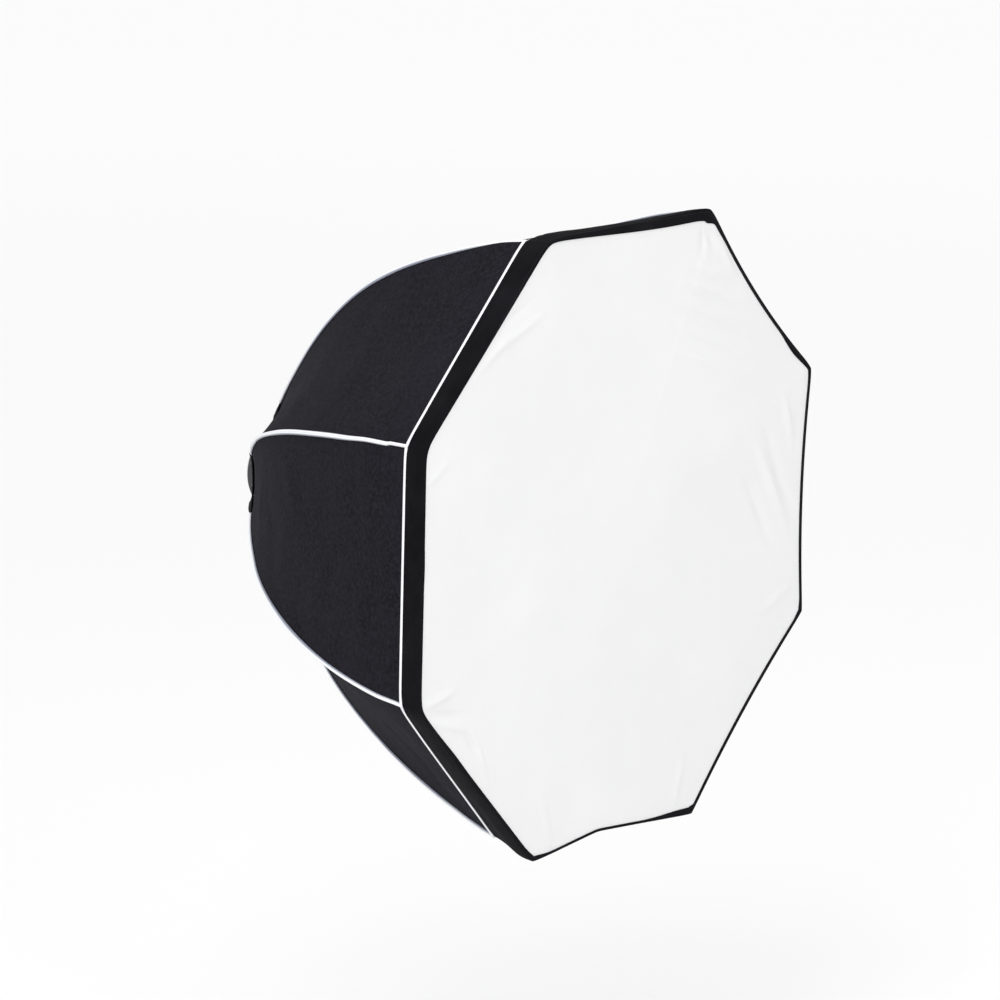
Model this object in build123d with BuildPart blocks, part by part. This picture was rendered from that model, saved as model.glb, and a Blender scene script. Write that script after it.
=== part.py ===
"""An octagonal studio softbox: a rotating speed ring, eight hinged rod sockets, eight bent rods, a cloth shell
of eight gores with a lip, an inner baffle and a front diffuser.

Frame: the light leaves along -Y, +Z is up, and the origin is the centre of the seat that meets the flash head.
A place is given as (r, s): r is the distance from the Y axis, and s the distance forward of the seat, along -Y.
"""

import os
from math import atan2, cos, degrees, radians, sin, sqrt

from build123d import *

# Overall form
SIDES = 8
SECTOR = 360 / SIDES
HALF_SECTOR = SECTOR / 2
DEPTH = 700.0  # seat to the lip's front edge
CORNER_RADIUS = 500.0  # axis to a front corner
RIB_BEND = 946.0  # radius of the arc that each rib of the shell follows
BEND_AHEAD = 117.0  # the arc's centre lies this far ahead of the front edge
BEND_S = DEPTH + BEND_AHEAD
BEND_R = CORNER_RADIUS - sqrt(RIB_BEND**2 - BEND_AHEAD**2)

# Cloth
CLOTH = 1.6
SEAM_GAP = 0.5  # half the gap between two gores
LIP_DEPTH = 43.0
TAPE_WIDTH = 7.0
TAPE_THICKNESS = 1.0
TAPE_RISE = 0.3  # tape to the ridge under it
TAPE_REAR_S = 63.0
SEAM_S = DEPTH - LIP_DEPTH
SHELL_REAR_S = 60.0
DIFFUSER_S = 696.5
DIFFUSER_CORNER = 496.0
DIFFUSER_THICKNESS = 1.2
BAFFLE_S = 300.0
BAFFLE_CORNER = 290.0
BAFFLE_THICKNESS = 1.0
TAB_WIDTH = 20.0
TAB_THICKNESS = 1.2
COLLAR_REAR = (98.5, 34.0)  # (corner r, s)
COLLAR_FRONT = (131.0, 58.0)
COLLAR_THICKNESS = 1.6

# Rods and their hinged sockets
ROD_RADIUS = 3.2
ROD_INSET = 7.0  # rod centre to the shell's outer ridge
ROD_BEND = RIB_BEND - ROD_INSET
ROD_TIP_S = 692.0
ROD_MOUTH_R = 106.0  # where the rod leaves its socket
SOCKET_LENGTH = 42.0  # hinge to the socket's mouth
SOCKET_RADIUS = 6.5
SOCKET_SOLID = 13.0  # solid length between the hinge and the rod's end
BORE_CLEARANCE = 0.05
KNUCKLE_RADIUS = 7.0
KNUCKLE_WIDTH = 12.7
PIN_RADIUS = 2.5
PIN_LENGTH = 22.0
EAR_THICKNESS = 4.0
EAR_GAP = 13.0
EAR_RADIUS = 8.0

# Speed ring: (radius, radius, s, s) of each turned part
INSERT_BORE = 40.0
INSERT_WALL = 5.2
INSERT_FLANGE_RADIUS = 58.0
INSERT_FLANGE = 5.0
NECK_LENGTH = 10.0  # the bayonet neck behind the seat
NECK_WALL = 4.0
LUG_COUNT = 3
LUG_ANGLE = 36.0
LUG_HEIGHT = 4.0
LUG_THICKNESS = 3.0
GLIDE_WALL = 3.0
RING_REAR_S = 5.3
RING_FRONT_S = 33.0
RING_BORE = 48.3
RING_RADIUS = 64.0
RETAINER_RADIUS = 54.0
RETAINER_THICKNESS = 4.0
RETAINER_GAP = 0.3
SCREW_COUNT = 6
SCREW_CIRCLE = 42.6
SCREW_RADIUS = 1.5
SCREW_HEAD_RADIUS = 2.4
SCREW_HEAD_HEIGHT = 1.6
SCREW_LENGTH = 12.0

# Brake screw, halfway between two sockets
BRAKE_AZIMUTH = -45.0
BRAKE_S = 14.0
BRAKE_SCREW_RADIUS = 4.0
BRAKE_BOSS_RADIUS = 8.0
BRAKE_BOSS_END = 74.0
BRAKE_PAD_THICKNESS = 3.0
KNOB_REAR_R = 76.0
KNOB_HEIGHT = 18.0
KNOB_RADIUS = 10.0
KNOB_WING = 13.0
KNOB_WING_THICKNESS = 7.0


def half_plane(azimuth):
    """The plane that holds the Y axis and the direction of azimuth: x is r and y is s."""
    a = radians(azimuth)
    return Plane(origin=(0, 0, 0), x_dir=(cos(a), 0, sin(a)), z_dir=(sin(a), 0, -cos(a)))


def across(s):
    """The plane across the axis at s, facing forward, with local x along +X."""
    return Plane(origin=(0, -s, 0), x_dir=(1, 0, 0), z_dir=(0, -1, 0))


def arc_r(bend, s):
    """r at s of an arc with the ribs' common centre."""
    return BEND_R + sqrt(bend**2 - (BEND_S - s) ** 2)


def arc_s(bend, r):
    """s at r of an arc with the ribs' common centre."""
    return BEND_S - sqrt(bend**2 - (r - BEND_R) ** 2)


def arc_angle(bend, s):
    """The direction, seen from the arc's centre, of its point at s, in degrees."""
    return degrees(atan2(s - BEND_S, arc_r(bend, s) - BEND_R))


ROD_MOUTH_S = arc_s(ROD_BEND, ROD_MOUTH_R)
SOCKET_ANGLE = arc_angle(ROD_BEND, ROD_MOUTH_S) + 90  # of the socket's axis, from the r axis
HINGE_R = ROD_MOUTH_R - SOCKET_LENGTH * cos(radians(SOCKET_ANGLE))
HINGE_S = ROD_MOUTH_S - SOCKET_LENGTH * sin(radians(SOCKET_ANGLE))
RIB_AZIMUTHS = [HALF_SECTOR + SECTOR * k for k in range(SIDES)]
GORE_AZIMUTHS = [SECTOR * (k + 1) for k in range(SIDES)]  # gore k lies between rib k and the next


def save(piece, name):
    piece.part.label = name
    export_step(piece.part, f"parts/{name}.step")


def turned(inner, outer, rear_s, front_s):
    """A plain ring about the Y axis."""
    with BuildPart() as ring:
        with BuildSketch(across(rear_s)):
            Circle(outer)
            Circle(inner, mode=Mode.SUBTRACT)
        extrude(amount=front_s - rear_s)
    return ring


def make_insert():
    """The part that stays still on the flash head: a flange, a barrel that the ring turns on, and a bayonet neck."""
    barrel = INSERT_BORE + INSERT_WALL
    neck = INSERT_BORE + NECK_WALL
    with BuildPart() as insert:
        with BuildSketch(half_plane(0)):
            with BuildLine():
                Polyline(
                    (INSERT_BORE, -NECK_LENGTH),
                    (neck, -NECK_LENGTH),
                    (neck, 0),
                    (INSERT_FLANGE_RADIUS, 0),
                    (INSERT_FLANGE_RADIUS, INSERT_FLANGE),
                    (barrel, INSERT_FLANGE),
                    (barrel, RING_FRONT_S + RETAINER_GAP),
                    (INSERT_BORE, RING_FRONT_S + RETAINER_GAP),
                    close=True,
                )
            make_face()
        revolve(axis=Axis.Y)
        with BuildSketch(across(RING_FRONT_S + RETAINER_GAP)):
            with PolarLocations(SCREW_CIRCLE, SCREW_COUNT):
                Circle(SCREW_RADIUS + BORE_CLEARANCE)
        extrude(amount=-(SCREW_LENGTH + 1), mode=Mode.SUBTRACT)
    save(insert, "bayonet_insert")


def make_bayonet_lugs():
    """Three lugs round the neck that lock behind the flash head's claws."""
    root = INSERT_BORE + NECK_WALL
    with BuildPart() as lugs:
        with BuildSketch(half_plane(0)):
            with Locations((root + LUG_HEIGHT / 2, -NECK_LENGTH + LUG_THICKNESS)):
                Rectangle(LUG_HEIGHT, LUG_THICKNESS)
        revolve(axis=Axis.Y, revolution_arc=LUG_ANGLE)
        first = lugs.part
        for k in range(1, LUG_COUNT):
            add(first.rotate(Axis.Y, 360 * k / LUG_COUNT))
    save(lugs, "bayonet_lugs")


def make_glide_ring():
    """A nylon sleeve on the insert's barrel, which the rotating ring slides on."""
    inner = INSERT_BORE + INSERT_WALL + BORE_CLEARANCE
    save(turned(inner, inner + GLIDE_WALL, RING_REAR_S, RING_FRONT_S), "glide_ring")


def make_retainer():
    """The plate that keeps the rotating ring on, and its pan-head screws."""
    rear = RING_FRONT_S + RETAINER_GAP
    with BuildPart() as retainer:
        with BuildSketch(across(rear)):
            Circle(RETAINER_RADIUS)
            Circle(INSERT_BORE, mode=Mode.SUBTRACT)
            with PolarLocations(SCREW_CIRCLE, SCREW_COUNT):
                Circle(SCREW_RADIUS + BORE_CLEARANCE, mode=Mode.SUBTRACT)
        extrude(amount=RETAINER_THICKNESS)
        chamfer(retainer.faces().sort_by(Axis.Y)[0].outer_wire().edges(), 1.2)
    save(retainer, "retaining_plate")

    with BuildPart() as screws:
        with BuildSketch(across(rear + RETAINER_THICKNESS)):
            with PolarLocations(SCREW_CIRCLE, SCREW_COUNT):
                Circle(SCREW_RADIUS)
        extrude(amount=-SCREW_LENGTH)
        with BuildSketch(across(rear + RETAINER_THICKNESS)):
            with PolarLocations(SCREW_CIRCLE, SCREW_COUNT):
                Circle(SCREW_HEAD_RADIUS)
        extrude(amount=SCREW_HEAD_HEIGHT)
    save(screws, "plate_screws")


def make_rotating_ring():
    """The ring that carries the rods, with a pair of ears for each socket and a boss for the brake screw."""
    ear_offset = (EAR_GAP + EAR_THICKNESS) / 2
    with BuildPart() as ring:
        with BuildSketch(across(RING_REAR_S)):
            Circle(RING_RADIUS)
            Circle(RING_BORE, mode=Mode.SUBTRACT)
        extrude(amount=RING_FRONT_S - RING_REAR_S)
        rims = ring.edges().filter_by(GeomType.CIRCLE).filter_by(lambda e: e.radius > RING_BORE + 1)
        chamfer(rims, 1.5)
        for azimuth in RIB_AZIMUTHS:
            for side in (-1, 1):
                with BuildSketch(half_plane(azimuth).offset(side * ear_offset)):
                    with Locations((HINGE_R, HINGE_S)):
                        Circle(EAR_RADIUS)
                    with Locations(((HINGE_R + RING_RADIUS - 3) / 2, HINGE_S)):
                        Rectangle(HINGE_R - RING_RADIUS + 3, 2 * EAR_RADIUS)
                    with Locations((HINGE_R, HINGE_S)):
                        Circle(PIN_RADIUS + BORE_CLEARANCE, mode=Mode.SUBTRACT)
                extrude(amount=EAR_THICKNESS / 2, both=True)
        boss = half_plane(BRAKE_AZIMUTH)
        boss_plane = Plane(
            origin=boss.from_local_coords((RING_BORE + 2, BRAKE_S, 0)), x_dir=(0, -1, 0), z_dir=boss.x_dir
        )
        with BuildSketch(boss_plane):
            Circle(BRAKE_BOSS_RADIUS)
        extrude(amount=BRAKE_BOSS_END - RING_BORE - 2)
        with BuildSketch(boss_plane):
            Circle(BRAKE_SCREW_RADIUS + BORE_CLEARANCE)
        extrude(amount=BRAKE_BOSS_END, both=True, mode=Mode.SUBTRACT)
        with BuildSketch(across(RING_REAR_S)):
            Circle(RING_BORE)
        extrude(amount=RING_FRONT_S - RING_REAR_S, mode=Mode.SUBTRACT)
    save(ring, "rotating_ring")


def make_hinge_pins():
    """One pin through each pair of ears."""
    with BuildPart() as pins:
        for azimuth in RIB_AZIMUTHS:
            with BuildSketch(half_plane(azimuth)):
                with Locations((HINGE_R, HINGE_S)):
                    Circle(PIN_RADIUS)
            extrude(amount=PIN_LENGTH / 2, both=True)
    save(pins, "hinge_pins")


def radial_plane(azimuth, r, s):
    """The plane at (r, s) that faces outward along azimuth."""
    plane = half_plane(azimuth)
    return Plane(origin=plane.from_local_coords((r, s, 0)), x_dir=(0, -1, 0), z_dir=plane.x_dir)


def make_brake():
    """The thumbscrew that clamps the rotating ring, with a nylon pad on its end."""
    glide_face = INSERT_BORE + INSERT_WALL + 2 * BORE_CLEARANCE + GLIDE_WALL
    pad_end = glide_face + BRAKE_PAD_THICKNESS
    with BuildPart() as pad:
        with BuildSketch(radial_plane(BRAKE_AZIMUTH, glide_face + BORE_CLEARANCE, BRAKE_S)):
            Circle(BRAKE_SCREW_RADIUS - 0.3)
        extrude(amount=BRAKE_PAD_THICKNESS - BORE_CLEARANCE)
    save(pad, "brake_pad")

    with BuildPart() as screw:
        with BuildSketch(radial_plane(BRAKE_AZIMUTH, pad_end, BRAKE_S)):
            Circle(BRAKE_SCREW_RADIUS)
        extrude(amount=KNOB_REAR_R + KNOB_HEIGHT / 2 - pad_end)
    save(screw, "brake_screw")

    knob_plane = radial_plane(BRAKE_AZIMUTH, KNOB_REAR_R, BRAKE_S)
    with BuildPart() as knob:
        with BuildSketch(knob_plane):
            Circle(KNOB_RADIUS)
        extrude(amount=KNOB_HEIGHT * 0.55)
        with BuildSketch(knob_plane):
            SlotOverall(2 * KNOB_WING, KNOB_WING_THICKNESS, rotation=90)
        extrude(amount=KNOB_HEIGHT)
        fillet(knob.faces().sort_by(Axis(knob_plane.origin, knob_plane.z_dir))[-1].edges(), 1.5)
        with BuildSketch(knob_plane):
            Circle(BRAKE_SCREW_RADIUS + BORE_CLEARANCE)
        extrude(amount=KNOB_HEIGHT / 2 + 0.2, mode=Mode.SUBTRACT)
    save(knob, "brake_knob")


def socket_line(distance):
    """The (r, s) of a point on a socket's axis, measured from its hinge."""
    a = radians(SOCKET_ANGLE)
    return HINGE_R + distance * cos(a), HINGE_S + distance * sin(a)


def socket_plane(azimuth, distance):
    """The plane across a socket's axis, facing its mouth."""
    plane = half_plane(azimuth)
    here = plane.from_local_coords((*socket_line(distance), 0))
    ahead = plane.from_local_coords((*socket_line(distance + 1), 0))
    return Plane(origin=here, x_dir=plane.z_dir, z_dir=ahead - here)


def make_socket(number, azimuth):
    """A tube on a hinge knuckle, which the rod's straight end plugs into."""
    with BuildPart() as socket:
        with BuildSketch(half_plane(azimuth)):
            with Locations((HINGE_R, HINGE_S)):
                Circle(KNUCKLE_RADIUS)
        extrude(amount=KNUCKLE_WIDTH / 2, both=True)
        with BuildSketch(socket_plane(azimuth, 0)):
            Circle(SOCKET_RADIUS - 0.5)
        extrude(amount=SOCKET_LENGTH)
        with BuildSketch(socket_plane(azimuth, SOCKET_LENGTH - 8)):
            Circle(SOCKET_RADIUS)
        extrude(amount=8)
        with BuildSketch(socket_plane(azimuth, SOCKET_SOLID)):
            Circle(ROD_RADIUS + BORE_CLEARANCE)
        extrude(amount=SOCKET_LENGTH, mode=Mode.SUBTRACT)
        with BuildSketch(half_plane(azimuth)):
            with Locations((HINGE_R, HINGE_S)):
                Circle(PIN_RADIUS + BORE_CLEARANCE)
        extrude(amount=KNUCKLE_WIDTH, both=True, mode=Mode.SUBTRACT)
    save(socket, f"rod_socket_{number}")


def make_rod(number, azimuth):
    """A glass-fibre rod: straight in its socket, then bent to the ribs' arc as far as the lip."""
    start = arc_angle(ROD_BEND, ROD_MOUTH_S)
    end = arc_angle(ROD_BEND, ROD_TIP_S)
    with BuildPart() as rod:
        with BuildLine(half_plane(azimuth)):
            Line(socket_line(SOCKET_SOLID + 0.5), socket_line(SOCKET_LENGTH))
            CenterArc((BEND_R, BEND_S), ROD_BEND, start, end - start)
        with BuildSketch(socket_plane(azimuth, SOCKET_SOLID + 0.5)):
            Circle(ROD_RADIUS)
        sweep()
    save(rod, f"rod_{number}")


def make_rib_tape(number, azimuth):
    """The narrow white tape that is sewn over the seam along a rib."""
    outer = RIB_BEND + TAPE_RISE
    with BuildPart() as tape:
        with BuildSketch(half_plane(azimuth)):
            with BuildLine():
                arcs = []
                for bend in (outer, outer + TAPE_THICKNESS):
                    start = arc_angle(bend, TAPE_REAR_S)
                    end = arc_angle(bend, SEAM_S - 0.5)
                    arcs.append(CenterArc((BEND_R, BEND_S), bend, start, end - start))
                Line(arcs[0] @ 0, arcs[1] @ 0)
                Line(arcs[0] @ 1, arcs[1] @ 1)
            make_face()
        extrude(amount=TAPE_WIDTH / 2, both=True)
    save(tape, f"rib_tape_{number}")


def make_cloth_panel(name, azimuth, rear_s, front_s):
    """One panel of the shell, flat from side to side. Its middle line is the ribs' arc narrowed to the octagon's
    flat, so that neighbouring panels meet in a ridge over each rod."""
    narrow = cos(radians(HALF_SECTOR))
    stations = [rear_s + (front_s - rear_s) * i / 6 for i in range(7)]
    with BuildPart() as panel:
        with BuildSketch(half_plane(azimuth)):
            with BuildLine():
                outside = Spline(*[(arc_r(RIB_BEND, s) * narrow, s) for s in stations])
                inside = Spline(*[(arc_r(RIB_BEND, s) * narrow - CLOTH * lean(s), s) for s in stations])
                Line(outside @ 0, inside @ 0)
                Line(outside @ 1, inside @ 1)
            make_face()
        extrude(amount=CORNER_RADIUS / 2, both=True)
        for side in (-1, 1):
            seam = half_plane(azimuth + side * HALF_SECTOR).offset(side * SEAM_GAP)
            split(bisect_by=seam, keep=Keep.TOP if side > 0 else Keep.BOTTOM)
    save(panel, name)


def lean(s):
    """How much longer a radial step across the cloth is than the cloth's thickness, at s."""
    return RIB_BEND / (arc_r(RIB_BEND, s) - BEND_R)


def octagon_points(corner):
    return [
        (corner * cos(radians(a)), corner * sin(radians(a))) for a in RIB_AZIMUTHS
    ]


def make_sheet(name, s, corner, thickness):
    """A flat octagonal sheet of cloth across the axis."""
    with BuildPart() as sheet:
        with BuildSketch(across(s)):
            with BuildLine():
                Polyline(*octagon_points(corner), close=True)
            make_face()
        extrude(amount=thickness)
    save(sheet, name)


def make_baffle_tabs():
    """Eight elastic tabs that hang the baffle from the rods."""
    root = BAFFLE_CORNER - 12
    end = arc_r(ROD_BEND, BAFFLE_S + BAFFLE_THICKNESS) - ROD_RADIUS - 1
    with BuildPart() as tabs:
        with BuildSketch(across(BAFFLE_S + BAFFLE_THICKNESS)):
            with PolarLocations((root + end) / 2, SIDES, start_angle=HALF_SECTOR):
                Rectangle(end - root, TAB_WIDTH)
        extrude(amount=TAB_THICKNESS)
    save(tabs, "baffle_tabs")


def make_collar():
    """The stiffened cuff that closes the shell behind the gores: an eight-sided band that widens forward."""
    side = cos(radians(HALF_SECTOR))
    slope = atan2(COLLAR_FRONT[0] - COLLAR_REAR[0], COLLAR_FRONT[1] - COLLAR_REAR[1])
    inset = COLLAR_THICKNESS / cos(slope) / side
    with BuildPart() as collar:
        for shrink, mode in ((0, Mode.ADD), (inset, Mode.SUBTRACT)):
            for corner, s in (COLLAR_REAR, COLLAR_FRONT):
                with BuildSketch(across(s)):
                    with BuildLine():
                        Polyline(*octagon_points(corner - shrink), close=True)
                    make_face()
            loft(mode=mode)
    save(collar, "rear_collar")


def main():
    os.makedirs("parts", exist_ok=True)
    make_insert()
    make_bayonet_lugs()
    make_glide_ring()
    make_retainer()
    make_rotating_ring()
    make_hinge_pins()
    make_brake()
    for number, azimuth in enumerate(RIB_AZIMUTHS, 1):
        make_socket(number, azimuth)
        make_rod(number, azimuth)
        make_rib_tape(number, azimuth)
    for number, azimuth in enumerate(GORE_AZIMUTHS, 1):
        make_cloth_panel(f"gore_{number}", azimuth, SHELL_REAR_S, SEAM_S - 0.2)
        make_cloth_panel(f"lip_{number}", azimuth, SEAM_S, DEPTH)
    make_sheet("inner_baffle", BAFFLE_S, BAFFLE_CORNER, BAFFLE_THICKNESS)
    make_baffle_tabs()
    make_sheet("front_diffuser", DIFFUSER_S, DIFFUSER_CORNER, DIFFUSER_THICKNESS)
    make_collar()
    print("hinge", round(HINGE_R, 2), round(HINGE_S, 2), "socket angle", round(SOCKET_ANGLE, 2))


main()
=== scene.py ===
import math
import random

import bmesh
import bpy
from mathutils import Matrix, Vector, noise


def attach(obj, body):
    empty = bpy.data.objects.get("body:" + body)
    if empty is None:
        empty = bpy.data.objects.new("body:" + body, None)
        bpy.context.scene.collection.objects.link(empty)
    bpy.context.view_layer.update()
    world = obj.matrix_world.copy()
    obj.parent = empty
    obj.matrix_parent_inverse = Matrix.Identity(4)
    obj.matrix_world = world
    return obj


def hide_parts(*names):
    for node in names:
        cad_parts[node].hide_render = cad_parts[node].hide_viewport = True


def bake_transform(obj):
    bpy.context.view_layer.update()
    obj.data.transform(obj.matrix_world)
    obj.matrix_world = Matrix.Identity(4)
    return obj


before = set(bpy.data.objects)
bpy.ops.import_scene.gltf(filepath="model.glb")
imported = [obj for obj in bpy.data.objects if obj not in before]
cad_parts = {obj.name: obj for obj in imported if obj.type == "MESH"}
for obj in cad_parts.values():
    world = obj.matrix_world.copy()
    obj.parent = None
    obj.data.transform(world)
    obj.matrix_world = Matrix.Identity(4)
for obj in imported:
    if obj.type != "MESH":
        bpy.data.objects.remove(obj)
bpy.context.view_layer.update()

# ---------------------------------------------------------------- the shell's form, in metres
# s is the distance forward of the seat. u runs across a side, from 0 on one rib to 1 on the next, and v runs
# along a gore, from its rear to its seam. Ribs are counted anticlockwise as seen from the front, from the one
# just above the right, and side k lies between ribs k and k + 1.
SIDES = 8
SECTOR = math.tau / SIDES
TOP, UPPER_LEFT, LEFT, BOTTOM = 1, 2, 3, 5
TOP_LEFT_RIB, LEFT_RIB, BOTTOM_LEFT_RIB = 2, 3, 5
FORWARD = Vector((0, -1, 0))
FLAT = math.cos(SECTOR / 2)
DEPTH = 0.700
CORNER = 0.500
# Every rib follows one arc, whose centre stands ahead of the front.
BEND = 0.946
BEND_AHEAD = 0.117
BEND_S = DEPTH + BEND_AHEAD
BEND_R = CORNER - math.sqrt(BEND**2 - BEND_AHEAD**2)
SEAM_S = 0.657
REAR_S = 0.060
ROD_R = 0.0032
ROD_INSET = 0.007
ROD_BEND = BEND - ROD_INSET
ROD_TIP_S = 0.692
DIP_S = 0.672
ROD_MOUTH_R = 0.106
ROD_IN_SOCKET = 0.0285
# Thickness of the black cloth and of the white.
CLOTH = 0.0006
SHEER = 0.0005


def lerp(a, b, t):
    return a + (b - a) * t


def smooth(x):
    x = min(1.0, max(0.0, x))
    return x * x * (3 - 2 * x)


def rising(x, start, length):
    """0 up to start, then smoothly up to 1 over length."""
    return smooth((x - start) / length)


def falling(x, end, length):
    """1 until it nears end, then smoothly down to 0 there, over length."""
    return smooth((end - x) / length)


def bump(x):
    """1 at x = 0, fading smoothly to 0 at x = 1 and beyond."""
    return 1 - smooth(abs(x))


def curve(u):
    """0 at both ends of a side and 1 at its middle."""
    return 4 * u * (1 - u)


def edge_of(u):
    """How far u is from the nearer rib."""
    return min(u, 1 - u)


def outward(azimuth):
    return Vector((math.cos(azimuth), 0, math.sin(azimuth)))


def tangent(azimuth):
    return Vector((-math.sin(azimuth), 0, math.cos(azimuth)))


def rib_azimuth(k):
    return SECTOR * (k + 0.5)


def shell_r(s):
    """Radius of the common arc at s."""
    return BEND_R + math.sqrt(BEND**2 - (BEND_S - s) ** 2)


def shell_slope(s):
    """How fast that radius grows with s."""
    return (BEND_S - s) / math.sqrt(BEND**2 - (BEND_S - s) ** 2)


# The rods of a real box never match: how far each rib's line leaves the common arc, as (outward mm, its
# middle, its reach), (sideways mm, its middle, its reach). Middles and reaches are distances along s.
BOWS = (
    ((3.0, 0.40, 0.40), (-2.0, 0.35, 0.40)),
    ((-6.0, 0.57, 0.22), (3.0, 0.45, 0.35)),
    ((8.5, 0.30, 0.22), (1.0, 0.40, 0.40)),
    ((-4.0, 0.16, 0.30), (-8.5, 0.26, 0.44)),
    ((-6.5, 0.30, 0.46), (0.0, 0.40, 0.40)),
    ((-12.0, 0.47, 0.42), (1.0, 0.30, 0.40)),
    ((2.0, 0.40, 0.40), (3.0, 0.30, 0.40)),
    ((-3.0, 0.30, 0.40), (-2.0, 0.45, 0.40)),
)
# Where the seam meets each rib, as s.
SEAM_AT = (0.657, 0.657, 0.650, 0.660, 0.659, 0.614, 0.655, 0.657)
SEAM_DIP = 0.004
# The lip's front edge at a rib, and how much further back it is at a side's middle.
FRONT_S = DEPTH - 0.0012
FRONT_DIP = 0.0030
# How far each rod pushes its front corner out, in metres.
PUSH = (0.0075, 0.0105, 0.0, 0.0, 0.0, 0.0035, 0.0065, 0.0045)
# How much of the full rounding the cloth has where it turns over each rod's end.
ROUNDING = (0.6, 0.8, 0.8, 0.7, 0.8, 0.35, 0.2, 0.3)
# How slack each side's cloth is at its front edge, against its slackness further back.
FRONT_SAG = (0.95, 0.14, 0.22, 0.25, 0.08, 1.0, 0.42, 0.66)
# How far each side's cloth is drawn in beside the rear opening, in metres.
REAR_SAG = (0.005, 0.004, 0.004, 0.001, 0.005, 0.007, 0.004, 0.006)
# How far inside the common arc each rib runs at the rear opening, in metres.
REAR_IN = (0.0, 0.0, 0.002, 0.006, 0.006, 0.002, 0.0, 0.0)
# The cloth's sag at the middle of a side, as a share of the side's width.
SLACK = 0.034
# Where the bottom side's hem has its nick, as u, how deep it is against an even sag, and how sharp.
NICK = 0.40
NICK_DEPTH = 1.35
NICK_SHARPNESS = 25
# Radius of the lip's turn over its front edge, and where the bottom side is pulled thin.
ROLL = 0.0022
THIN_ROLL = 0.0010
# How far the cloth's turn over a rib spreads to each side of it.
RIB_SPREAD = 0.011


def bowed(j, s, settle=0.0):
    """(outward, sideways) departure of rib j from the common arc, in metres. A rod takes the length settle,
    past its socket, to reach its rib's line."""
    j %= SIDES
    (out, middle, reach), (aside, at, span) = BOWS[j]
    ends = rising(s, REAR_S, 0.10) * falling(s, DEPTH + 0.012, 0.07)
    push = PUSH[j] * rising(s, 0.45, 0.25)
    near = REAR_IN[j] * (1 - rising(s, 0.075, 0.16))
    if settle:
        near *= rising(s, 0.036, settle)
    push -= near
    if j == BOTTOM_LEFT_RIB:  # it swells just behind its front corner
        push += 0.0045 * bump((s - 0.670) / 0.045)
    push += 0.001 * out * bump((s - middle) / reach) * ends
    return push, 0.001 * aside * bump((s - at) / span) * ends


def rib_point(j, s):
    out, aside = bowed(j, s)
    a = rib_azimuth(j)
    return FORWARD * s + outward(a) * (shell_r(s) + out) + tangent(a) * aside


def corner_in(j, s):
    """How far the cloth is pulled in at rib j, where it rounds the rod's end."""
    full = 0.003 * rising(s, 0.600, 0.057) + 0.0025 * rising(s, SEAM_S, 0.043)
    return full * ROUNDING[j % SIDES]


def side_width(s):
    """The straight distance between two ribs of the common arc."""
    return 2 * shell_r(s) * math.sin(SECTOR / 2)


def sag(k, s):
    """How far the cloth falls inside the straight line between two ribs, at its middle."""
    rear = REAR_SAG[k] * (1 - rising(s, REAR_S, 0.28))
    slack = lerp(1.0, FRONT_SAG[k], rising(s, 0.40, 0.26))
    if k == TOP:
        slack += 0.10 * rising(s, 0.55, 0.10) * falling(s, 0.700, 0.045)
    return SLACK * side_width(s) * slack + rear


def arch(k, u, s):
    """How the sag spreads across a side. Towards the front the bottom side hangs in two straight runs, which
    meet at the nick."""
    even = curve(u)
    if k != BOTTOM:
        return even
    runs = (u / NICK, (1 - u) / (1 - NICK))
    tent = -math.log(sum(math.exp(-NICK_SHARPNESS * run) for run in runs)) / NICK_SHARPNESS
    return lerp(even, NICK_DEPTH * tent, rising(s, 0.45, 0.2))


def roll_size(k, u):
    """Radius of the turn over the lip's front edge."""
    if k != BOTTOM:
        return ROLL
    return lerp(ROLL, THIN_ROLL, rising(u, 0.0, 0.15) * falling(u, 1.0, 0.25))


def seam_s(k, u):
    return lerp(SEAM_AT[k], SEAM_AT[(k + 1) % SIDES], u) - SEAM_DIP * curve(u)


def front_s(u):
    return FRONT_S - FRONT_DIP * curve(u)


# The lip's hem turns in over the diffuser by HEM_IN, and further at these places on each side, as (u, how
# much further in metres, reach). It leans back by HEM_LEAN of the distance it turns in.
HEM_IN = 0.0016
HEM_LEAN = 0.15
HEMS = (
    ((1.0, 0.0135, 0.075), (0.93, 0.0020, 0.12), (0.12, 0.0045, 0.16)),
    ((0.0, 0.0135, 1.05),),
    ((1.0, 0.0010, 0.04),),
    ((0.0, 0.0010, 0.04), (0.45, 0.0010, 0.10)),
    ((1.0, 0.0020, 0.08), (0.3, 0.0010, 0.15)),
    ((1.0, 0.0055, 0.34), (0.0, 0.0020, 0.10)),
    ((0.0, 0.0055, 0.035), (1.0, 0.0020, 0.06)),
    ((0.0, 0.0020, 0.06), (1.0, 0.0007, 0.05)),
)


def drawn_in(k, u):
    """How far the hem turns in at u."""
    further = sum(size * bump((u - at) / reach) for at, size, reach in HEMS[k])
    return HEM_IN * roll_size(k, u) / ROLL + further


def noise_at(*p):
    return noise.noise(Vector(p))


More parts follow.
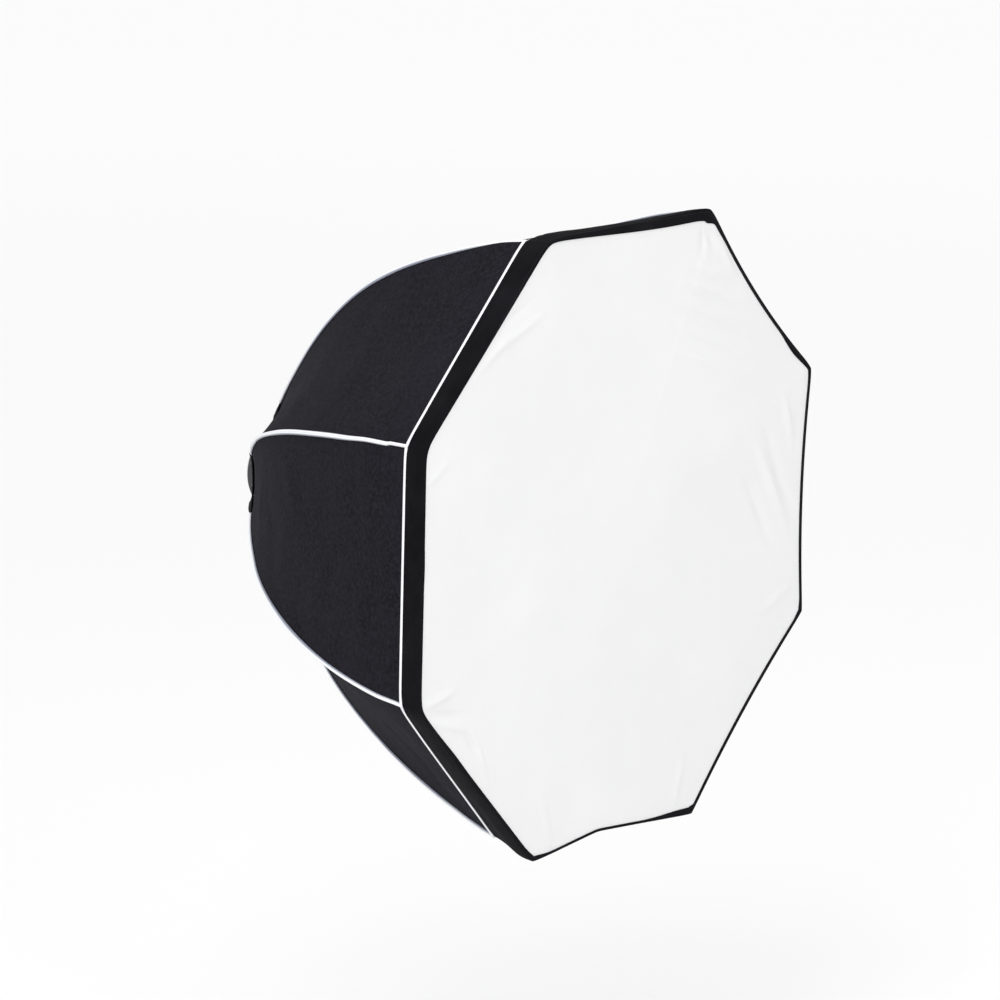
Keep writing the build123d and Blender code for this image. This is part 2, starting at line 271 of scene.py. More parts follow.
# Creases in a gore, as (u, v, direction in u, direction in v, half length, half width, depth in mm).
CREASES = {
    LEFT: [
        (0.50, 0.93, 1.0, 0.03, 0.42, 0.035, 1.3),
        (0.35, 0.80, 1.0, 0.10, 0.30, 0.040, -1.0),
        (0.70, 0.62, 1.0, -0.05, 0.30, 0.045, 1.2),
        (0.28, 0.45, 1.0, 0.18, 0.24, 0.035, 1.0),
        (0.66, 0.34, 1.0, 0.10, 0.30, 0.040, -0.9),
        (0.50, 0.20, 1.0, 0.00, 0.34, 0.030, 1.2),
    ],
    UPPER_LEFT: [
        (0.30, 0.18, 0.8, 0.5, 0.30, 0.030, 1.6),
        (0.52, 0.24, 0.8, 0.5, 0.34, 0.028, -1.3),
        (0.72, 0.36, 0.9, 0.4, 0.30, 0.034, 1.2),
        (0.45, 0.60, 1.0, 0.15, 0.30, 0.040, 0.9),
        (0.60, 0.86, 1.0, -0.04, 0.34, 0.034, 1.0),
    ],
}


def chance_crease(draw):
    return (
        draw.uniform(0.25, 0.75),
        draw.uniform(0.08, 0.95),
        1.0,
        draw.uniform(-0.35, 0.35),
        draw.uniform(0.2, 0.36),
        draw.uniform(0.028, 0.046),
        draw.choice((-1, 1)) * draw.uniform(0.8, 1.5),
    )


def creases_of(k):
    """The gores that the photograph shows have their own creases. The others have seven by chance."""
    if k in CREASES:
        return CREASES[k]
    draw = random.Random(100 + k)
    return [chance_crease(draw) for _ in range(7)]


GORE_CREASES = [creases_of(k) for k in range(SIDES)]
CREASE_DEPTH = 1.9


def wrinkle(k, u, v):
    """The cloth's own unevenness between the ribs, in metres: creases, two sizes of wave, and a pucker beside
    each seam. total is in mm."""
    total = 0.0
    for cu, cv, du, dv, reach, wide, depth in GORE_CREASES[k]:
        size = math.hypot(du, dv)
        du, dv = du / size, dv / size
        along = (u - cu) * du + (v - cv) * dv
        across = -(u - cu) * dv + (v - cv) * du
        across += 0.03 * noise_at(u * 3, v * 3, k + 5.5)
        total += CREASE_DEPTH * depth * bump(along / reach) * math.exp(-((across / wide) ** 2))
    total += 1.6 * noise_at(u * 1.6, v * 7.5, k * 7.1)
    total += 0.8 * noise_at(u * 5, v * 16, k * 3.3 + 40)
    edge = edge_of(u)
    pucker = math.exp(-((edge / 0.05) ** 2)) * (1 - math.exp(-((edge / 0.012) ** 2)))
    total += 0.7 * pucker * noise_at(v * 34, k * 2.0, 9.0 if u < 0.5 else 3.0)
    window = min(1.0, edge / 0.10)
    return total * 0.001 * smooth(window) + 0.0003 * pucker * noise_at(v * 60, k, 1.0)


def shell_frame(k, s):
    """(point on rib k, point on rib k + 1, outward normal) of side k at s."""
    normal = outward(rib_azimuth(k) + SECTOR / 2) - FORWARD * (shell_slope(s) * FLAT)
    return rib_point(k, s), rib_point(k + 1, s), normal.normalized()


def shell_point(k, u, s, lift=0.0, v=None, inward=0.0):
    """The point at u and s of side k, lifted off the shell and then moved in towards the axis. With v, the
    gore's wrinkles are added."""
    p0, p1, normal = shell_frame(k, s)
    offset = lift - sag(k, s) * arch(k, u, s)
    if v is not None:
        offset += wrinkle(k, u, v)
    nearer = k if u < 0.5 else k + 1
    inward += corner_in(nearer, s) * math.exp(-edge_of(u) * (p1 - p0).length / RIB_SPREAD)
    p = p0.lerp(p1, u)
    radial = Vector((p.x, 0, p.z)).normalized()
    return p + normal * offset - radial * inward


# ---------------------------------------------------------------- mesh helpers
def new_object(name, verts, faces, uvs=None, edges=None):
    """A smooth mesh object. uvs and edges hold one (along, across) pair per vertex, in metres."""
    mesh = bpy.data.meshes.new(name)
    mesh.from_pydata([tuple(v) for v in verts], [], faces)
    for label, values in (("UVMap", uvs), ("Edge", edges)):
        if values is None:
            continue
        layer = mesh.uv_layers.new(name=label)
        for loop in mesh.loops:
            layer.data[loop.index].uv = values[loop.vertex_index]
    mesh.update()
    for poly in mesh.polygons:
        poly.use_smooth = True
    obj = bpy.data.objects.new(name, mesh)
    bpy.context.scene.collection.objects.link(obj)
    return obj


def grid_faces(rows, columns, wrap=False):
    faces = []
    for i in range(rows - 1):
        for j in range(columns if wrap else columns - 1):
            n = (j + 1) % columns
            faces.append((i * columns + j, i * columns + n, (i + 1) * columns + n, (i + 1) * columns + j))
    return faces


def thicken(obj, thickness, inside=0):
    """Gives a sheet its thickness. inside is how many material slots further on its inner face is."""
    mod = obj.modifiers.new("thickness", "SOLIDIFY")
    mod.thickness = thickness
    mod.offset = -1.0
    mod.material_offset = inside
    mod.use_even_offset = True


def sweep(name, stations):
    """A solid along a path. Each station is (origin, side, up, [(side offset, up offset), ...]), and all have
    the same number of section points. uvs are (distance along, distance across)."""
    verts, uvs = [], []
    count = len(stations[0][3])
    along = 0.0
    last = None
    for origin, side, up, section in stations:
        if last is not None:
            along += (origin - last).length
        last = origin
        for a, b in section:
            verts.append(origin + side * a + up * b)
            uvs.append((along, a))
    return new_object(name, verts, tube_faces(len(stations), count), uvs)


def tube_faces(rows, count):
    """Faces of a closed tube of rows rings, with a cap at each end."""
    faces = grid_faces(rows, count, wrap=True)
    faces.append(tuple(range(count))[::-1])
    faces.append(tuple((rows - 1) * count + j for j in range(count)))
    return faces


def fix_normals(obj):
    bm = bmesh.new()
    bm.from_mesh(obj.data)
    bmesh.ops.recalc_face_normals(bm, faces=bm.faces)
    bm.to_mesh(obj.data)
    bm.free()


def tape_section(width, thickness, drop):
    """A soft, slightly domed tape over a ridge. Its edges stand lower than its middle, by drop."""
    half = width / 2
    top = []
    for x in (-1.0, -0.86, -0.5, 0.0, 0.5, 0.86, 1.0):
        round_off = (1 - abs(x) ** 6) * thickness
        top.append((x * half, round_off * (0.75 + 0.25 * (1 - x * x)) - abs(x) * drop))
    under = [(x * half, -abs(x) * drop - 0.00025) for x in (0.9, 0.0, -0.9)]
    return top + under


# ---------------------------------------------------------------- materials
class Nodes:
    """A short way to write a material's nodes."""

    def __init__(self, name):
        self.material = bpy.data.materials.new(name)
        self.material.use_nodes = True
        self.tree = self.material.node_tree
        self.tree.nodes.clear()
        self.out = self.tree.nodes.new("ShaderNodeOutputMaterial")

    def add(self, kind, **settings):
        node = self.tree.nodes.new("ShaderNode" + kind)
        for key, value in settings.items():
            setattr(node, key, value)
        return node

    def link(self, source, target):
        self.tree.links.new(source, target)

    def math(self, operation, a, b=None, c=None):
        node = self.add("Math", operation=operation)
        for i, value in enumerate((a, b, c)):
            if value is None:
                continue
            if isinstance(value, (int, float)):
                node.inputs[i].default_value = value
            else:
                self.link(value, node.inputs[i])
        return node.outputs[0]

    def uv(self, layer="UVMap"):
        node = self.add("UVMap")
        node.uv_map = layer
        split = self.add("SeparateXYZ")
        self.link(node.outputs[0], split.inputs[0])
        return node.outputs[0], split.outputs[0], split.outputs[1]

    def place(self):
        return self.add("TexCoord").outputs["Object"]

    def noise(self, vector, scale, detail=4.0, roughness=0.55):
        node = self.add("TexNoise")
        node.inputs["Scale"].default_value = scale
        node.inputs["Detail"].default_value = detail
        node.inputs["Roughness"].default_value = roughness
        self.link(vector, node.inputs["Vector"])
        return node.outputs["Fac"]

    def ramp(self, value, low, high, out_low=0.0, out_high=1.0):
        node = self.add("MapRange")
        node.clamp = True
        self.link(value, node.inputs[0])
        for i, number in zip((1, 2, 3, 4), (low, high, out_low, out_high)):
            node.inputs[i].default_value = number
        return node.outputs[0]

    def mix(self, factor, a, b):
        node = self.add("Mix", data_type="RGBA")
        self.link(factor, node.inputs[0])
        for socket, value in ((node.inputs[6], a), (node.inputs[7], b)):
            if isinstance(value, (tuple, list)):
                socket.default_value = (*value[:3], 1.0)
            else:
                self.link(value, socket)
        return node.outputs[2]

    def bump(self, height, strength, distance, normal=None):
        node = self.add("Bump")
        node.inputs["Strength"].default_value = strength
        node.inputs["Distance"].default_value = distance
        self.link(height, node.inputs["Height"])
        if normal is not None:
            self.link(normal, node.inputs["Normal"])
        return node.outputs[0]

    def principled(self, color, roughness=0.6, normal=None, **sockets):
        node = self.add("BsdfPrincipled")
        self.link(color, node.inputs["Base Color"])
        if isinstance(roughness, (int, float)):
            node.inputs["Roughness"].default_value = roughness
        else:
            self.link(roughness, node.inputs["Roughness"])
        if normal is not None:
            self.link(normal, node.inputs["Normal"])
        for key, value in sockets.items():
            node.inputs[key.replace("_", " ")].default_value = value
        return node

    def finish(self, node):
        self.link(node.outputs[0], self.out.inputs[0])
        return self.material


def weave_height(m, along, across, pitch):
    """Plain weave: over and under threads, one crossing every pitch metres."""
    a = m.math("SINE", m.math("MULTIPLY", along, math.pi / pitch))
    b = m.math("SINE", m.math("MULTIPLY", across, math.pi / pitch))
    over = m.math("MULTIPLY", a, b)
    threads = m.math("ABSOLUTE", over)
    return m.math("ADD", m.math("MULTIPLY", threads, 0.6), m.math("MULTIPLY", over, 0.4))


def stitch_mask(m, along, across, rows, pitch=0.0032, width=0.00042):
    """1 on the stitches of rows that run along the cloth at the given distances across it."""
    step = m.math("FRACT", m.math("DIVIDE", along, pitch))
    dash = m.math("COMPARE", step, 0.5, 0.34)
    total = None
    for row in rows:
        line = m.math("COMPARE", across, row, width)
        one = m.math("MULTIPLY", line, dash)
        total = one if total is None else m.math("MAXIMUM", total, one)
    return total


def black_cloth(name, dark, light, pitch=0.0007, grain=0.75):
    """Black nylon, mottled by handling, with lint, slubs, a fine weave and almost no sheen. grain is how
    strongly its fine speckle shows."""
    m = Nodes(name)
    _, along, across = m.uv()
    place = m.place()
    cloud = m.noise(place, 9.0, 5.0, 0.6)
    speckle = m.noise(place, 170.0, 5.0, 0.75)
    tone = m.mix(m.ramp(cloud, 0.35, 0.68), dark, light)
    lint = m.ramp(m.noise(place, 260.0, 2.0, 0.8), 0.70, 0.80, 0.0, 0.30)
    tone = m.mix(m.ramp(speckle, 0.38, 0.66, 0.0, grain), tone, [c * 1.7 for c in light])
    tone = m.mix(lint, tone, (0.06, 0.06, 0.066))
    weave = weave_height(m, along, across, pitch)
    fine = m.bump(weave, 0.5, 0.00022)
    coarse = m.bump(m.noise(place, 150.0, 4.0, 0.7), 0.35, 0.0006, fine)
    roughness = m.ramp(cloud, 0.3, 0.7, 0.76, 0.90)
    looks = {"Sheen_Weight": 0.01, "Sheen_Roughness": 0.45, "Specular_IOR_Level": 0.02}
    return m.finish(m.principled(tone, roughness, coarse, **looks))


def silver_lining():
    """The shell's crinkled, metallised inner face."""
    m = Nodes("silver_lining")
    _, along, across = m.uv()
    place = m.place()
    crinkle = m.noise(place, 60.0, 6.0, 0.65)
    tone = m.mix(m.ramp(crinkle, 0.3, 0.7), (0.52, 0.53, 0.54), (0.74, 0.75, 0.76))
    grain = m.bump(weave_height(m, along, across, 0.0012), 0.4, 0.0003)
    normal = m.bump(crinkle, 0.5, 0.0015, grain)
    node = m.principled(tone, m.ramp(crinkle, 0.3, 0.7, 0.28, 0.42), normal, Metallic=0.85)
    return m.finish(node)


def white_tape():
    """Woven tape, faintly blue, with painted shade along its middle fold and on its edges, stitches near
    those edges, and a little grime.
    """
    m = Nodes("white_tape")
    _, along, across = m.uv()
    place = m.place()
    stitch_row, edge_shade_full = 0.0021, 0.0034
    stitches = stitch_mask(m, along, across, (-stitch_row, stitch_row))
    grime = m.ramp(m.noise(place, 38.0, 5.0, 0.7), 0.52, 0.80, 0.0, 0.35)
    tone = m.mix(grime, (0.86, 0.87, 0.90), (0.60, 0.62, 0.66))
    tone = m.mix(stitches, tone, (0.93, 0.93, 0.94))
    # painted shade: a thin grey line down the tape's middle stands for the shade in its fold
    fold = m.math("COMPARE", across, 0.0003, 0.00045)
    tone = m.mix(m.math("MULTIPLY", fold, 0.45), tone, (0.42, 0.43, 0.47))
    # painted shade: the tape's edges are darkened to blue-grey, standing for the shade on its folded sides
    edge = m.ramp(m.math("ABSOLUTE", across), stitch_row, edge_shade_full)
    tone = m.mix(edge, tone, (0.25, 0.27, 0.34))
    ribs = m.math("SINE", m.math("MULTIPLY", along, math.tau / 0.0009))
    height = m.math("ADD", m.math("MULTIPLY", ribs, 0.25), stitches)
    normal = m.bump(height, 0.6, 0.0003)
    node = m.principled(tone, 0.72, normal, Sheen_Weight=0.2, Sheen_Roughness=0.5)
    return m.finish(node)


def lip_cloth():
    """The lip's denser cloth, ribbed, with a row of stitches along its front edge."""
    m = Nodes("lip_cloth")
    _, along, across = m.uv()
    place = m.place()
    cloud = m.noise(place, 14.0, 5.0, 0.6)
    tone = m.mix(m.ramp(cloud, 0.35, 0.7), (0.0050, 0.0046, 0.0058), (0.0094, 0.0087, 0.0106))
    lint = m.ramp(m.noise(place, 300.0, 2.0, 0.8), 0.72, 0.80, 0.0, 0.3)
    tone = m.mix(lint, tone, (0.035, 0.035, 0.038))
    stitches = stitch_mask(m, along, across, (0.0035,), 0.0034)
    tone = m.mix(stitches, tone, (0.018, 0.018, 0.020))
    ribs = weave_height(m, along, across, 0.0009)
    height = m.math("ADD", m.math("MULTIPLY", ribs, 0.5), m.math("MULTIPLY", stitches, 1.5))
    fine = m.bump(height, 0.6, 0.0003)
    normal = m.bump(m.noise(place, 110.0, 4.0, 0.7), 0.3, 0.0007, fine)
    looks = {"Sheen_Weight": 0.01, "Sheen_Roughness": 0.4, "Specular_IOR_Level": 0.02}
    return m.finish(m.principled(tone, 0.78, normal, **looks))


def white_cloth(name, tone_a, tone_b, hem, through=0.35, seam=1.0):
    """Diffusion nylon: very fine weave, faint clouding, a stitched hem, and some light through it. hem is the
    hem's width in metres, through the share of the light let through, and seam how strongly the hem shows."""
    m = Nodes(name)
    _, along, across = m.uv()
    _, round_edge, from_edge = m.uv("Edge")
    place = m.place()
    cloud = m.noise(place, 5.0, 4.0, 0.6)
    tone = m.mix(m.ramp(cloud, 0.3, 0.7), tone_a, tone_b)
    fibre = m.noise(place, 700.0, 2.0, 0.8)
    tone = m.mix(m.ramp(fibre, 0.3, 0.8, 0.0, 0.14), tone, [c * 0.86 for c in tone_b])
    stitches = stitch_mask(m, round_edge, from_edge, (hem * 0.85,), 0.0036)
    tone = m.mix(m.math("MULTIPLY", stitches, 0.5 * seam), tone, [c * 0.7 for c in tone_b])
    weave = weave_height(m, along, across, 0.0006)
    doubled = m.ramp(from_edge, hem, hem + 0.0008, 1.0, 0.0)
    height = m.math("ADD", m.math("MULTIPLY", weave, 0.35), m.math("MULTIPLY", doubled, 1.3 * seam))
    height = m.math("SUBTRACT", height, m.math("MULTIPLY", stitches, 1.2 * seam))
    fine = m.bump(height, 0.5, 0.00035)
    normal = m.bump(m.noise(place, 90.0, 4.0, 0.65), 0.18, 0.0006, fine)
    front = m.principled(tone, 0.75, normal, Sheen_Weight=0.15, Sheen_Roughness=0.5)
    back = m.add("BsdfTranslucent")
    m.link(tone, back.inputs["Color"])
    m.link(normal, back.inputs["Normal"])
    both = m.add("MixShader")
    both.inputs[0].default_value = through
    m.link(front.outputs[0], both.inputs[1])
    m.link(back.outputs[0], both.inputs[2])
    return m.finish(both)


def metal(name, tone, rough, scratch=0.25, metallic=1.0, cast=0.0, worn=None):
    """Metal or painted metal, with handling marks and a grain. scratch is how far the marks change its
    roughness, cast is how much coarser its grain is, and worn is the tone of bare metal where it shows."""
    m = Nodes(name)
    place = m.place()
    marks = m.noise(place, 60.0, 6.0, 0.7)
    color = m.mix(m.ramp(marks, 0.35, 0.7), [c * 0.82 for c in tone], tone)
    if worn:
        chips = m.ramp(m.noise(place, 130.0, 4.0, 0.8), 0.70, 0.74)
        color = m.mix(chips, color, worn)
    height = m.noise(place, 900.0 if not cast else 420.0, 3.0, 0.6)
    normal = m.bump(height, 0.15 + cast, 0.0002)
    rough_out = m.ramp(marks, 0.3, 0.75, rough - scratch * 0.3, rough + scratch * 0.5)
    return m.finish(m.principled(color, rough_out, normal, Metallic=metallic))


def plastic(name, tone, rough=0.5, grain=0.25):
    """Moulded plastic with a fine texture and handling marks."""
    m = Nodes(name)
    place = m.place()
    marks = m.noise(place, 45.0, 5.0, 0.65)
    color = m.mix(m.ramp(marks, 0.35, 0.7), [c * 0.8 for c in tone], tone)
    normal = m.bump(m.noise(place, 700.0, 2.0, 0.5), grain, 0.00015)
    return m.finish(m.principled(color, m.ramp(marks, 0.3, 0.7, rough - 0.06, rough + 0.1), normal))


def glass_fibre():
    """A pultruded rod: pale, with fibres along it and a dark dipped tip."""
    m = Nodes("glass_fibre")
    place = m.place()
    split = m.add("SeparateXYZ")
    m.link(place, split.inputs[0])
    stretch = m.add("Mapping")
    stretch.inputs["Scale"].default_value = (900.0, 30.0, 900.0)
    m.link(place, stretch.inputs[0])
    fibres = m.noise(stretch.outputs[0], 1.0, 3.0, 0.6)
    color = m.mix(m.ramp(fibres, 0.35, 0.7), (0.60, 0.58, 0.50), (0.72, 0.70, 0.62))
    tip = m.math("LESS_THAN", split.outputs[1], -DIP_S)
    color = m.mix(tip, color, (0.02, 0.02, 0.022))
    normal = m.bump(fibres, 0.25, 0.0002)
    return m.finish(m.principled(color, 0.42, normal, Specular_IOR_Level=0.5))


SHELL = black_cloth("shell_cloth", (0.0060, 0.0055, 0.0080), (0.0120, 0.0113, 0.0150), grain=0.95)
CUFF = black_cloth("cuff_cloth", (0.016, 0.016, 0.019), (0.022, 0.022, 0.026), pitch=0.0011, grain=0.3)
ELASTIC = black_cloth("black_elastic", (0.018, 0.018, 0.02), (0.03, 0.03, 0.033), pitch=0.0014)
SILVER = silver_lining()
TAPE = white_tape()
LIP = lip_cloth()
DIFFUSER = white_cloth("diffuser_cloth", (0.745, 0.745, 0.752), (0.77, 0.77, 0.773), 0.012, 0.15, seam=0.15)
BAFFLE = white_cloth("baffle_cloth", (0.84, 0.84, 0.83), (0.88, 0.88, 0.87), 0.010)
CAST = metal("cast_alloy", (0.62, 0.62, 0.63), 0.42, cast=0.15)
RING = metal("ring_alloy", (0.035, 0.035, 0.038), 0.48, metallic=0.0, cast=0.35, worn=(0.45, 0.45, 0.46))
STEEL = metal("plated_steel", (0.58, 0.58, 0.60), 0.3)
SOCKET = metal("socket_alloy", (0.50, 0.50, 0.51), 0.34, scratch=0.4)
NYLON = plastic("nylon", (0.72, 0.71, 0.66), 0.45)
KNOB = plastic("black_plastic", (0.028, 0.028, 0.03), 0.45, 0.4)
FIBRE = glass_fibre()


# ---------------------------------------------------------------- the cloth shell
def hang_between(obj, k):
    """Bakes obj's placement into its mesh."""
    p0, p1, _ = shell_frame(k, SEAM_S)
    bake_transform(obj)


def edge_spaced(count):
    """0 to 1, closer together near both ends."""
    steps = []
    for i in range(count):
        swing = math.cos(math.pi * i / (count - 1))
        steps.append(0.5 - 0.5 * swing * (0.86 + 0.14 * abs(swing)))
    return steps


# Roughly how far a gore runs along its curve for each metre of s. It sets the scale of the weave.
GORE_STRETCH = 1.16
LIP_LENGTH = 0.383
U_STEPS = edge_spaced(61)
V_COUNT = 91


def make_gore(k):
    """A black shell panel with its silver lining, from under the collar to the seam."""
    under_collar, inset = 0.007, 0.0002
    verts, uvs, weights = [], [], []
    for i in range(V_COUNT):
        v = i / (V_COUNT - 1)
        for u in U_STEPS:
            s = lerp(REAR_S - under_collar, seam_s(k, u), v)
            verts.append(shell_point(k, u, s, -inset, v))
            uvs.append((s * GORE_STRETCH, (u - 0.5) * side_width(s)))
            weights.append(u)
    obj = new_object(f"gore_cloth_{k + 1}", verts, grid_faces(V_COUNT, len(U_STEPS)), uvs)
    obj.data.materials.append(SHELL)
    obj.data.materials.append(SILVER)
    thicken(obj, CLOTH, inside=1)
    hang_between(obj, k)
    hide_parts(f"gore_{k + 1}")
    return obj


def lip_puff(k, u, t):
    """How far the lip stands off the shell's line, where t runs from the seam to its front edge. The top
    side's lip puffs out more, towards the left."""
    hump = math.sin(math.pi * t)
    puff = 0.0012 * hump + 0.0008 * math.sin(math.pi * min(1, t * 4)) * (t < 0.25)
    puff += 0.0009 * noise_at(u * 9 + k * 5, t * 2.2, 2.0) * hump
    puff += 0.0006 * noise_at(u * 3 + k * 3, t * 7, 4.0) * hump
    if k != TOP:
        return puff * rising(edge_of(u), 0.0, 0.05)
    puff *= 0.15 + 0.85 * rising(u, 0.0, 0.6)
    puff += 0.0058 * u**1.3 * hump**0.8
    puff += 0.0006 * u * math.sin(6 * t + 3 * u) * hump
    return puff * falling(u, 1.0, 0.07)


def lip_roll(k, u):
    """The lip's cross-section at u, as (s, lift, inward): out along the shell, over the front edge, across
    the hem, and back inside."""
    seam, front = seam_s(k, u), front_s(u)
    turn = drawn_in(k, u)
    roll = roll_size(k, u)
    fold = 0.0010
    tuck, tuck_lean = 0.004, 0.0003
    quarter = [math.pi / 2 * i / 3 for i in range(1, 4)]
    points = [(lerp(seam, front - roll, i / 14), lip_puff(k, u, i / 14), 0.0) for i in range(15)]
    for angle in quarter:
        points.append((front - roll + roll * math.sin(angle), 0.0, roll * (1 - math.cos(angle))))
    for i in range(1, 6):
        points.append((front - HEM_LEAN * turn * i / 5, 0.0, roll + turn * i / 5))
    back = front - HEM_LEAN * turn
    for angle in quarter:
        points.append((back - fold * (1 - math.cos(angle)), 0.0, roll + turn + fold * math.sin(angle)))
    for i in range(1, 5):
        points.append((back - fold - tuck * i, 0.0, roll + fold + turn + tuck_lean * i))
    return points


def make_lip(k):
    """The dark strip around the diffuser. across is its mean width, measured along its cross-sections."""
    verts, uvs, weights = [], [], []
    for u in U_STEPS:
        run = 0.0
        section = lip_roll(k, u)
        last = section[0]
        for s, lift, inward in section:
            run += math.hypot(s - last[0], lift - last[1] + last[2] - inward)
            last = (s, lift, inward)
            verts.append(shell_point(k, u, s, lift, None, inward))
            uvs.append(((u - 0.5) * LIP_LENGTH, 0.050 - run))
            weights.append(u)
    obj = new_object(f"lip_band_{k + 1}", verts, grid_faces(len(U_STEPS), len(section)), uvs)
    obj.data.materials.append(LIP)
    thicken(obj, CLOTH)
    hang_between(obj, k)
    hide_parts(f"lip_{k + 1}")


def make_lip_piping(k):
    """The white tape on the seam between a gore and its lip. The top side's is sunk behind its puffed lip."""
    rise = 0.0006 if k != TOP else -0.0012
    thickness = 0.0021
    near, count = 0.002, 101
    stations, weights = [], []
    for i in range(count):
        u = i / (count - 1)
        s = seam_s(k, u)
        before, after = max(0, u - near), min(1, u + near)
        start = shell_point(k, before, seam_s(k, before), rise)
        end = shell_point(k, after, seam_s(k, after), rise)
        along = (end - start).normalized()
        _, _, normal = shell_frame(k, s)
        side = along.cross(normal).normalized()
        up = side.cross(along).normalized()
        width = 0.0056 + 0.0007 * noise_at(u * 8, k * 3.7, 1.0)
        stations.append((shell_point(k, u, s, rise), side, up, tape_section(width, thickness, 0.0)))
        weights += [u] * len(stations[-1][3])
    obj = sweep(f"lip_piping_{k + 1}", stations)
    fix_normals(obj)
    obj.data.materials.append(TAPE)
    hang_between(obj, k)


def make_rib_tape(k):
    """The white binding of a rib's seam. It is sewn by eye, so its width and line wander a little."""
    a = rib_azimuth(k)
    side = tangent(a)
    start = 0.062
    end = SEAM_AT[k] + (0.002 if k != TOP_LEFT_RIB else -0.001)
    count = 161
    stations = []
    for i in range(count):
        t = i / (count - 1)
        s = lerp(start, end, t)
        up = (outward(a) - FORWARD * shell_slope(s)).normalized()
        width = 0.0064 + 0.0020 * math.sin(math.pi * t) ** 2 + 0.0008 * noise_at(t * 9, k * 4.1, 0.0)
        shift = 0.0009 * noise_at(t * 6, k * 2.3, 8.0)
        tall = 0.0036 + 0.0007 * noise_at(t * 5, k * 5.3, 3.0)
        if k == LEFT_RIB:
            step = rising(t, 0.925, 0.012)
            width *= lerp(1.0, 0.82, step)
            shift += lerp(0.0006, -0.0010, step) - 0.0014 * bump((t - 0.84) / 0.09)
        if k == TOP_LEFT_RIB:
            away = rising(t, 0.72, 0.22)
            shift -= 0.0026 * away
            tall *= 1 - 0.55 * away
            width *= 1 - 0.2 * away
        if k == BOTTOM_LEFT_RIB:
            tall *= 1 + 0.45 * rising(t, 0.5, 0.2) * falling(t, 1.0, 0.05)
        rise = 0.0002 + 0.0006 * noise_at(t * 14, k * 1.9, 4.0) ** 2 - corner_in(k, s)
        middle = rib_point(k, s) + up * rise + side * shift
        stations.append((middle, side, up, tape_section(width, tall, width / 2 * 0.36)))
    obj = sweep(f"rib_tape_cloth_{k + 1}", stations)
    fix_normals(obj)
    obj.data.materials.append(TAPE)
    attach(obj, f"rib_{k + 1}")
    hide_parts(f"rib_tape_{k + 1}")


def rod_line(k):
    """A rod's axis as (radius, s) points, straight in its socket and then bent along its rib, and the s of
    the socket's mouth."""
    root = math.sqrt(ROD_BEND**2 - (ROD_MOUTH_R - BEND_R) ** 2)
    mouth_s = BEND_S - root
    direction = Vector((root / ROD_BEND, (ROD_MOUTH_R - BEND_R) / ROD_BEND))
    settle = 0.05
    line = []
    for i in range(5):
        back = ROD_IN_SOCKET * (1 - i / 4)
        line.append(Vector((ROD_MOUTH_R, mouth_s)) - direction * back)
    for i in range(1, 101):
        s = lerp(mouth_s, ROD_TIP_S - 0.0006, i / 100)
        r = BEND_R + math.sqrt(ROD_BEND**2 - (BEND_S - s) ** 2)
        out, _ = bowed(k, s, settle)
        line.append(Vector((r + out - corner_in(k, s), s)))
    return line, mouth_s


def make_rod(k):
    """A glass-fibre rod, thicker where its end is dipped and narrowed at its tip."""
    a = rib_azimuth(k)
    line, mouth_s = rod_line(k)
    dip_start, dip_swell, tip_size = DIP_S - 0.004, 1.12, 0.7
    circle = [math.tau * n / 16 for n in range(16)]
    stations = []
    for i, (r, s) in enumerate(line):
        before, after = line[max(0, i - 1)], line[min(len(line) - 1, i + 1)]
        run = (after - before).normalized()
        up = outward(a) * run.y - FORWARD * run.x
        _, aside = bowed(k, s) if s > mouth_s else (0, 0)
        size = ROD_R * (1.0 if s < dip_start else dip_swell)
        if i == len(line) - 1:
            size *= tip_size
        ring = [(size * math.cos(angle), size * math.sin(angle)) for angle in circle]
        stations.append((FORWARD * s + outward(a) * r + tangent(a) * aside, tangent(a), up, ring))
    obj = sweep(f"rod_fibre_{k + 1}", stations)
    fix_normals(obj)
    obj.data.materials.append(FIBRE)
    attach(obj, f"rib_{k + 1}")
    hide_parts(f"rod_{k + 1}")


for k in range(SIDES):
    make_rod(k)
gores = [make_gore(k) for k in range(SIDES)]
for make in (make_lip, make_lip_piping, make_rib_tape):
    for k in range(SIDES):
        make(k)


# ---------------------------------------------------------------- front diffuser and inner baffle
def crease_field(creases, x, z):
    """How far the creases stand out at x, z, in metres. Each wanders a little from its straight line."""
    total = 0.0
    for cx, cz, angle, reach, wide, depth in creases:
        du, dv = math.cos(angle), math.sin(angle)
        along = (x - cx) * du + (z - cz) * dv
        across = -(x - cx) * dv + (z - cz) * du
        across += 0.007 * noise_at(x * 7, z * 7, cx * 10)
        total += depth * bump(along / reach) * math.exp(-((across / wide) ** 2))
    return total * 0.001


